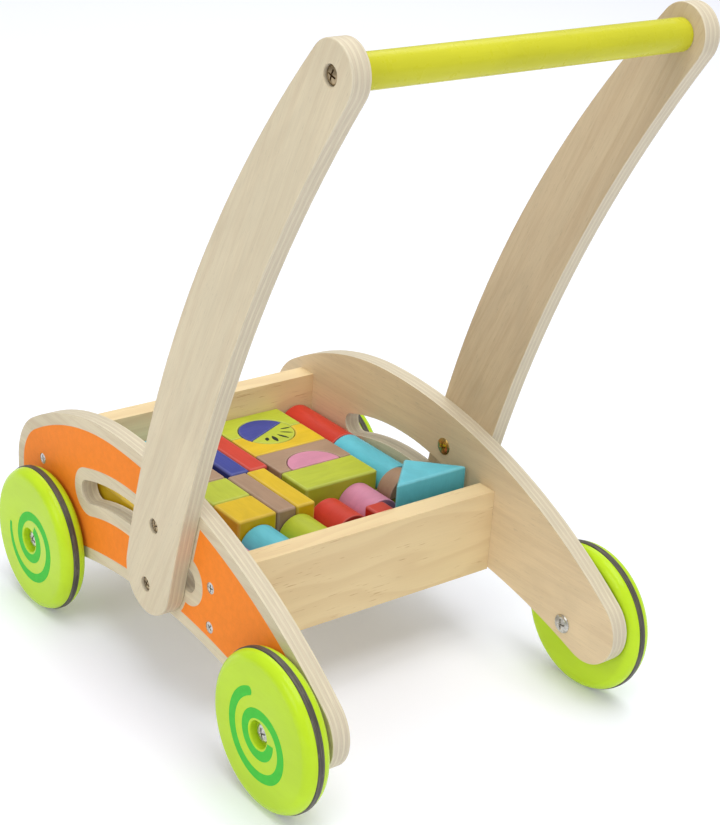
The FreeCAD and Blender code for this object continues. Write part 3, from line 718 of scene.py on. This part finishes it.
# Bare wood round the painted area, in millimetres like the outlines, and round the fasteners.
BARE_RIM = 8.2
BARE_ROUND_SLOT = 8.6
BARE_UNDER_ARM = 2.2
SCREW_CLEARING = 3.8 * MM
AXLE_CLEARING = 9.0 * MM


def disc_outline(y, z, radius, steps=40):
    """A round outline."""
    return [
        (y + radius * math.cos(2 * math.pi * k / steps), z + radius * math.sin(2 * math.pi * k / steps))
        for k in range(steps)
    ]


bm = bmesh.new()
painted = tangent_outline(inset(panel_rounds(), BARE_RIM))
extruded(bm, painted, PANEL_OUTER, PANEL_OUTER + PAINT_THICKNESS)
orange = new_piece("orange_area_left", bm, [orange_paint], smooth=False)
FRONT_AXLE_Y = middle("wheel_front_left").y
REAR_AXLE_Y = middle("wheel_rear_left").y
AXLE_Z = middle("wheel_rear_left").z
BOARD_SCREW_Y = (-151 * MM, 58 * MM)
BOARD_SCREW_Z = (73 * MM, 100 * MM)
cut_outlines = [
    tangent_outline(inset(slot_rounds(), -BARE_ROUND_SLOT)),
    tangent_outline(inset(arm_rounds(), -BARE_UNDER_ARM)),
]
for y in BOARD_SCREW_Y:
    for z in BOARD_SCREW_Z:
        cut_outlines.append(disc_outline(y, z, SCREW_CLEARING))
for y in (FRONT_AXLE_Y, REAR_AXLE_Y):
    cut_outlines.append(disc_outline(y, AXLE_Z, AXLE_CLEARING))
for outline in cut_outlines:
    bm = bmesh.new()
    extruded(bm, outline, PANEL_OUTER - MM, PANEL_OUTER + MM)
    cut_away(orange, bm)
declare(orange, "frame", "birch_plywood")

# ---------------------------------------------------------------- wheels, bands and spirals

HUB_RADIUS = 8.5 * MM
HUB_DEPTH = 5.0 * MM
HUB_LIP = 0.7 * MM
BORE_EDGE = 0.5 * MM
WHEEL_EDGE = 0.12 * MM
RIM_RADIUS = 49.3 * MM
SHOULDER = 7.0 * MM
SHOULDER_STEPS = 14
BORE_RADIUS = 4.08 * MM
BAND_WIDTH = 4.4 * MM
BAND_DEPTH = 3.0 * MM
WHEEL_RADIUS = 50.0 * MM


def wheel_profile():
    """Half section: x from the panel side, with round shoulders and softened corners."""
    groove_start = (WHEEL_WIDTH - BAND_WIDTH) / 2
    groove_end = WHEEL_WIDTH - groove_start
    groove_floor = WHEEL_RADIUS - BAND_DEPTH
    sweep = math.acos(max(0.0, SHOULDER - groove_start) / SHOULDER)
    inner, outer = [], []
    for k in range(1, SHOULDER_STEPS + 1):
        angle = sweep * k / SHOULDER_STEPS
        x = SHOULDER - SHOULDER * math.cos(angle)
        radius = RIM_RADIUS - SHOULDER + SHOULDER * math.sin(angle)
        inner.append((x, radius))
        outer.append((WHEEL_WIDTH - x, radius))
    hub_floor = WHEEL_WIDTH - HUB_DEPTH
    profile = [(BORE_EDGE, BORE_RADIUS), (0, BORE_RADIUS + BORE_EDGE), (0, RIM_RADIUS - SHOULDER)]
    profile += inner
    profile += [(groove_start, groove_floor), (groove_end, groove_floor)]
    profile += outer[::-1]
    profile += [
        (WHEEL_WIDTH, RIM_RADIUS - SHOULDER),
        (WHEEL_WIDTH, HUB_RADIUS + HUB_LIP),
        (WHEEL_WIDTH - 0.1 * HUB_LIP, HUB_RADIUS + 0.55 * HUB_LIP),
        (WHEEL_WIDTH - 0.35 * HUB_LIP, HUB_RADIUS + 0.2 * HUB_LIP),
        (WHEEL_WIDTH - HUB_LIP, HUB_RADIUS),
        (hub_floor, HUB_RADIUS),
        (hub_floor, BORE_RADIUS),
    ]
    return profile


def band_profile():
    """Half section of the band: flat with rounded corners."""
    start = (WHEEL_WIDTH - BAND_WIDTH) / 2
    end = start + BAND_WIDTH
    inside = WHEEL_RADIUS - BAND_DEPTH
    corners = [(start, inside), (start, WHEEL_RADIUS), (end, WHEEL_RADIUS), (end, inside)]
    return [(p[0], p[1]) for p in filleted(corners, [0, 0.9 * MM, 0.9 * MM, 0], 4)]


SPIRAL_HALF_WIDTH = 3.15 * MM
SPIRAL_TO_HUB = 0.9 * MM
# Arcs of the spiral: distance from the hub at the start and after half a turn, and the sweep.
SPIRAL_ARCS = [(26.3, 26.8, 180), (26.8, 13.2, 180), (13.2, 13.0, 180), (13.0, 9.5, 72)]


def spiral_points(samples=26):
    """The spiral's middle line round the hub, as (y, z), from the tail inwards."""
    line = []
    for index, (first, last, sweep) in enumerate(SPIRAL_ARCS):
        radius = (first + last) / 2
        up = 1 if index % 2 == 0 else -1
        centre_z = up * (first - last) / 2
        for k in range(samples + 1):
            if k == 0 and index:
                continue
            angle = math.radians(90 * up + sweep * k / samples)
            line.append((radius * math.cos(angle) * MM, (centre_z + radius * math.sin(angle)) * MM))
    return line


def ribbon(bm, line, half_widths, x_low, x_high, keep_out=0.0):
    """A flat band of changing width along a line in the YZ plane, with a round tail."""
    middle_line = [Vector(point) for point in line]
    widths = list(half_widths)
    tail = middle_line[0] - middle_line[1]
    tail.normalize()
    round_end = []
    for share in (0.985, 0.88, 0.65, 0.35):
        reach = widths[0] * share
        half = widths[0] * math.sqrt(1 - share**2)
        round_end.append((middle_line[0] + tail * reach, half))
    middle_line = [spot for spot, _ in round_end] + middle_line
    widths = [width for _, width in round_end] + widths
    rows = []
    for i, here in enumerate(middle_line):
        ahead = middle_line[min(i + 1, len(middle_line) - 1)] - middle_line[max(i - 1, 0)]
        ahead.normalize()
        across = Vector((-ahead.y, ahead.x)) * widths[i]
        row = []
        for side in (1, -1):
            spot = here + across * side
            if spot.length < keep_out:
                spot = spot.normalized() * keep_out
            row.append([bm.verts.new((x, spot.x, spot.y)) for x in (x_low, x_high)])
        rows.append(row)
    for (a, b), (c, d) in zip(rows, rows[1:]):
        bm.faces.new((a[1], b[1], d[1], c[1]))
        bm.faces.new((a[0], c[0], d[0], b[0]))
        bm.faces.new((a[0], a[1], c[1], c[0]))
        bm.faces.new((b[0], d[0], d[1], b[1]))
    for a, b in (rows[0], rows[-1]):
        bm.faces.new((a[0], b[0], b[1], a[1]))


# Where a spiral thins out to its tail: over how many steps, and to what share of its width.
SPIRAL_TAILS = {"wheel_front_left": (14, 0.45)}
# Degrees that each spiral is turned about its axle.
WHEEL_TURNS = {
    "wheel_rear_left": 24,
    "wheel_front_left": 85,
    "wheel_front_right": 140,
    "wheel_rear_right": 20,
}
for node, degrees in WHEEL_TURNS.items():
    side = 1 if node.endswith("left") else -1
    low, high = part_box(node)
    centre = middle(node)
    start_x = low.x if side > 0 else high.x
    base = Vector((start_x, centre.y, centre.z))
    bm = bmesh.new()
    lathe(bm, wheel_profile(), base, side, 128)
    wheel = new_piece(node + "_turned", bm, [wheel_lacquer])
    bevelled(wheel, WHEEL_EDGE, 2, angle=50)
    declare(wheel, node, "wheel_lime", node)
    band = node.replace("wheel", "tyre_band")
    bm = bmesh.new()
    lathe(bm, band_profile(), base, side, 128)
    declare(new_piece(band + "_turned", bm, [band_rubber]), node, "band_rubber", band)
    line = spiral_points()
    tail_steps, tail_width = SPIRAL_TAILS.get(node, (2, 0.92))
    widths = []
    for i in range(len(line)):
        share = min(1.0, i / tail_steps)
        widths.append(SPIRAL_HALF_WIDTH * (tail_width + (1 - tail_width) * share))
    bm = bmesh.new()
    ribbon(bm, line, widths, 0, PAINT_THICKNESS, HUB_RADIUS + SPIRAL_TO_HUB)
    turn = Matrix.Rotation(math.radians(degrees), 4, "X")
    face_x = high.x if side > 0 else low.x - PAINT_THICKNESS
    bm.transform(Matrix.Translation((face_x, centre.y, centre.z)) @ turn)
    if side < 0:
        flip = Matrix.Scale(-1, 4, (0, 1, 0))
        around = Matrix.Translation((0, centre.y, 0))
        bm.transform(around @ flip @ around.inverted())
    spiral = new_piece(node + "_spiral", bm, [spiral_paint], smooth=False)
    declare(spiral, node, "wheel_lime")

# ---------------------------------------------------------------- screws, bolts and nuts


HEAD_EDGE = 0.12 * MM
DOME_STEPS = 8


def head_bmesh(radius, height, dome, cross_radius, cross_depth, shank_radius, shank_length):
    """A fastener along +X: domed head on x = 0 and up, shank below, cross recess in its top."""
    rim = height - dome
    profile = [(0.0, shank_radius), (0.0, radius - HEAD_EDGE), (HEAD_EDGE, radius)]
    profile.append((rim, radius))
    for k in range(1, DOME_STEPS + 1):
        angle = k / DOME_STEPS * math.pi / 2
        profile.append((rim + dome * math.sin(angle), radius * math.cos(angle) + 1e-6))
    profile.append((-shank_length, 1e-6))
    profile.append((-shank_length, shank_radius))
    bm = bmesh.new()
    lathe(bm, profile, Vector((0, 0, 0)), 1, 48)
    bmesh.ops.remove_doubles(bm, verts=bm.verts, dist=5e-6)
    obj = new_piece("head_template", bm, [])
    for turn in (0, 90):
        tool = bmesh.new()
        tip = Matrix.Rotation(math.radians(turn + 20), 4, "X")
        half = 0.17 * cross_radius
        outline = [
            (-cross_radius, height + MM),
            (-cross_radius, height - 0.25 * cross_depth),
            (-0.45 * cross_radius, height - cross_depth),
            (0.45 * cross_radius, height - cross_depth),
            (cross_radius, height - 0.25 * cross_depth),
            (cross_radius, height + MM),
        ]
        extruded(tool, outline, -half, half)
        upright = Matrix(((0, 0, 1, 0), (0, 1, 0, 0), (-1, 0, 0, 0), (0, 0, 0, 1)))
        tool.transform(tip @ upright)
        cut_away(obj, tool)
    bm = bmesh.new()
    bm.from_mesh(obj.data)
    mesh = obj.data
    bpy.data.objects.remove(obj)
    bpy.data.meshes.remove(mesh)
    return bm


def fasteners(node, template, places, seat_x, slot, material):
    """Copies of a fastener on both sides, seats at +-seat_x, in place of a CAD group."""
    bm = bmesh.new()
    for side in (1, -1):
        for number, (y, z) in enumerate(places):
            spin = Matrix.Rotation(math.radians(37 * number + 50 * side), 4, "X")
            facing = Matrix.Scale(math.copysign(side, side * seat_x), 4, (1, 0, 0))
            where = Matrix.Translation((abs(seat_x) * side, y, z))
            copy = template.copy()
            copy.transform(where @ facing @ spin)
            scratch = bpy.data.meshes.new("scratch")
            bmesh.ops.recalc_face_normals(copy, faces=copy.faces)
            copy.to_mesh(scratch)
            copy.free()
            bm.from_mesh(scratch)
            bpy.data.meshes.remove(scratch)
    obj = new_piece(node + "_detailed", bm, [material])
    bevelled(obj, HEAD_EDGE, 2, angle=40)
    return declare(obj, "frame", slot, node)


BAR_Y, BAR_Z = middle("handle_bar").y, middle("handle_bar").z
AXLE_PLACES = [(FRONT_AXLE_Y, AXLE_Z), (REAR_AXLE_Y, AXLE_Z)]
BOARD_PLACES = [(y, z) for y in BOARD_SCREW_Y for z in BOARD_SCREW_Z]
BOLT_PLACES = [(3.0 * MM, 80.0 * MM), (11.5 * MM, 124.0 * MM)]
BOLT_SINK = 4 * MM
BOARD_SCREW_SINK = 2 * MM

axle_screw = head_bmesh(
    radius=6.0 * MM,
    height=2.2 * MM,
    dome=1.5 * MM,
    cross_radius=3.4 * MM,
    cross_depth=1.7 * MM,
    shank_radius=2.5 * MM,
    shank_length=18 * MM,
)
axle_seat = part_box("axle_screws")[1].x - 2.2 * MM
fasteners("axle_screws", axle_screw, AXLE_PLACES, axle_seat, "zinc_steel", zinc)
sleeve_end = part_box("axle_sleeve_nuts")[1].x
sleeve_nut = head_bmesh(
    radius=6.4 * MM,
    height=2.0 * MM,
    dome=1.7 * MM,
    cross_radius=3.6 * MM,
    cross_depth=1.5 * MM,
    shank_radius=4.0 * MM,
    shank_length=sleeve_end - PANEL_INNER,
)
fasteners("axle_sleeve_nuts", sleeve_nut, AXLE_PLACES, -PANEL_INNER, "zinc_steel", zinc)
bar_screw = head_bmesh(
    radius=5.2 * MM,
    height=3.0 * MM,
    dome=1.5 * MM,
    cross_radius=3.2 * MM,
    cross_depth=2.0 * MM,
    shank_radius=2.5 * MM,
    shank_length=38 * MM,
)
# The bar screws and arm bolts take the darkened plated steel: painted shade in their recesses.
fasteners(
    "handle_screws", bar_screw, [(BAR_Y, BAR_Z)], ARM_OUTER - BOLT_SINK, "zinc_steel", zinc_with_painted_shade
)
arm_bolt = head_bmesh(
    radius=4.4 * MM,
    height=2.8 * MM,
    dome=1.2 * MM,
    cross_radius=2.7 * MM,
    cross_depth=1.8 * MM,
    shank_radius=2.5 * MM,
    shank_length=14 * MM,
)
fasteners("arm_bolts", arm_bolt, BOLT_PLACES, ARM_OUTER - BOLT_SINK, "zinc_steel", zinc_with_painted_shade)
arm_nut = head_bmesh(
    radius=6.0 * MM,
    height=1.6 * MM,
    dome=1.4 * MM,
    cross_radius=3.2 * MM,
    cross_depth=1.2 * MM,
    shank_radius=4.0 * MM,
    shank_length=10 * MM,
)
fasteners("arm_nuts", arm_nut, BOLT_PLACES, -PANEL_INNER, "brass_nut", brass)
board_screw = head_bmesh(
    radius=3.7 * MM,
    height=2.0 * MM,
    dome=0.25 * MM,
    cross_radius=2.3 * MM,
    cross_depth=1.5 * MM,
    shank_radius=1.9 * MM,
    shank_length=34 * MM,
)
fasteners(
    "board_screws", board_screw, BOARD_PLACES, PANEL_OUTER - BOARD_SCREW_SINK, "zinc_steel", zinc
)

# ---------------------------------------------------------------- blocks

BLOCK_EDGE = 1.7 * MM
block_nodes = [
    row["node"]
    for row in frame["record"]["subparts"]
    if row["material_slot"].startswith("block_")
]
slot_of = {row["node"]: row["material_slot"] for row in frame["record"]["subparts"]}
for node in block_nodes:
    colour = slot_of[node].replace("block_", "")
    low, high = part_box(node)
    reach = high - low
    axis = "X" if reach.x > reach.y else "Y"
    if node.startswith("lower_blocks"):
        axis = "Y"
    if node == "cyan_prism":
        axis = "Z"
    # The rounded edges take a copy of the stain lightened towards white: painted highlight.
    materials = [block_material(colour, axis), block_material(colour, axis, 0.05)]
    rounded_copy(node, slot_of[node], materials, BLOCK_EDGE, edge_slot=1)

# Five dark petals that fan out on the lime half disc, two of them short and wide.
DISC_CENTRE_X = -40.5 * MM
DISC_CENTRE_Y = -108.85 * MM
DISC_TURN = 24.5
PETAL_STEPS = 16
disc_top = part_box("lime_half_disc")[1].z
# A petal: degrees round the disc, start and end from its centre, widest half width.
PETALS = [
    (33, 10.4, 16.2, 1.5),
    (58, 8.4, 18.2, 1.7),
    (90, 8.6, 18.8, 1.15),
    (121, 9.2, 18.9, 0.8),
    (148, 10.8, 18.9, 0.9),
]
bm = bmesh.new()
for degrees, start, end, widest in PETALS:
    edge = []
    for k in range(PETAL_STEPS + 1):
        share = k / PETAL_STEPS
        half = widest * math.sin(math.pi * share) ** 0.75
        edge.append(((start + (end - start) * share) * MM, half * MM))
    outline = edge + [(x, -y) for x, y in edge[-2:0:-1]]
    flat = bmesh.new()
    extruded(flat, outline, 0, PAINT_THICKNESS)
    lay = Matrix(((0, 1, 0, 0), (0, 0, 1, 0), (1, 0, 0, 0), (0, 0, 0, 1)))
    turn = Matrix.Rotation(math.radians(DISC_TURN + degrees), 4, "Z")
    flat.transform(Matrix.Translation((DISC_CENTRE_X, DISC_CENTRE_Y, disc_top)) @ turn @ lay)
    scratch = bpy.data.meshes.new("scratch")
    flat.to_mesh(scratch)
    flat.free()
    bm.from_mesh(scratch)
    bpy.data.meshes.remove(scratch)
strokes = new_piece("lime_half_disc_strokes", bm, [ink], smooth=False)
declare(strokes, "lime_half_disc", "block_lime")

# ---------------------------------------------------------------- stage

bpy.ops.mesh.primitive_plane_add(size=14, location=(0, 0, 0))
floor = bpy.context.object
floor.name = "studio_floor"
paper = bpy.data.materials.new("floor_paper")
paper.use_nodes = True
paper_looks = {
    "Base Color": (0.84, 0.86, 0.93, 1),
    "Roughness": 0.9,
    "Specular IOR Level": 0.1,
    "Emission Color": (1, 1, 1, 1),
    "Emission Strength": 0.12,
}
for socket, value in paper_looks.items():
    paper.node_tree.nodes["Principled BSDF"].inputs[socket].default_value = value
floor.data.materials.append(paper)

world = bpy.context.scene.world or bpy.data.worlds.new("World")
bpy.context.scene.world = world
world.use_nodes = True
world.node_tree.nodes["Background"].inputs["Color"].default_value = (1, 1, 1, 1)
world.node_tree.nodes["Background"].inputs["Strength"].default_value = 0.4


def area_light(name, position, target, size, power):
    """A soft square light facing a point."""
    data = bpy.data.lights.new(name, "AREA")
    data.energy = power
    data.size = size
    light = bpy.data.objects.new(name, data)
    light.location = position
    light.rotation_euler = (Vector(target) - Vector(position)).to_track_quat("-Z", "Y").to_euler()
    bpy.context.scene.collection.objects.link(light)


area_light("overhead", (0.1, 0.7, 3.0), (0, 0, 0.1), 2.2, 58)
area_light("backdrop", (-1.3, -1.6, 2.6), (-1.3, -1.6, 0), 2.5, 34)
area_light("key", (2.1, 0.3, 1.5), (0, 0, 0.15), 1.2, 12)
area_light("fill", (0.2, 2.4, 1.0), (0, 0, 0.2), 1.6, 8)

bpy.context.scene.view_settings.view_transform = "Standard"
bpy.context.scene.view_settings.look = "None"

# ---------------------------------------------------------------- camera

# Place in metres, angles in radians, focal length in millimetres.
CAMERA_PLACE = Vector((0.6378, 0.8443, 0.6329))
YAW, PITCH, ROLL = 4.0379, 0.4132, 0.0632
LENS = 90.24
SENSOR_WIDTH = 36
forward = Vector(
    (math.cos(PITCH) * math.cos(YAW), math.cos(PITCH) * math.sin(YAW), -math.sin(PITCH))
)
level_right = forward.cross(Vector((0, 0, 1))).normalized()
level_up = level_right.cross(forward)
right = level_right * math.cos(ROLL) + level_up * math.sin(ROLL)
up = level_up * math.cos(ROLL) - level_right * math.sin(ROLL)
camera_data = bpy.data.cameras.new("camera")
camera_data.sensor_fit = "HORIZONTAL"
camera_data.sensor_width = SENSOR_WIDTH
camera_data.lens = LENS
camera = bpy.data.objects.new("camera", camera_data)
camera.matrix_world = Matrix(
    (
        (right.x, up.x, -forward.x, CAMERA_PLACE.x),
        (right.y, up.y, -forward.y, CAMERA_PLACE.y),
        (right.z, up.z, -forward.z, CAMERA_PLACE.z),
        (0, 0, 0, 1),
    )
)
bpy.context.scene.collection.objects.link(camera)
bpy.context.scene.camera = camera
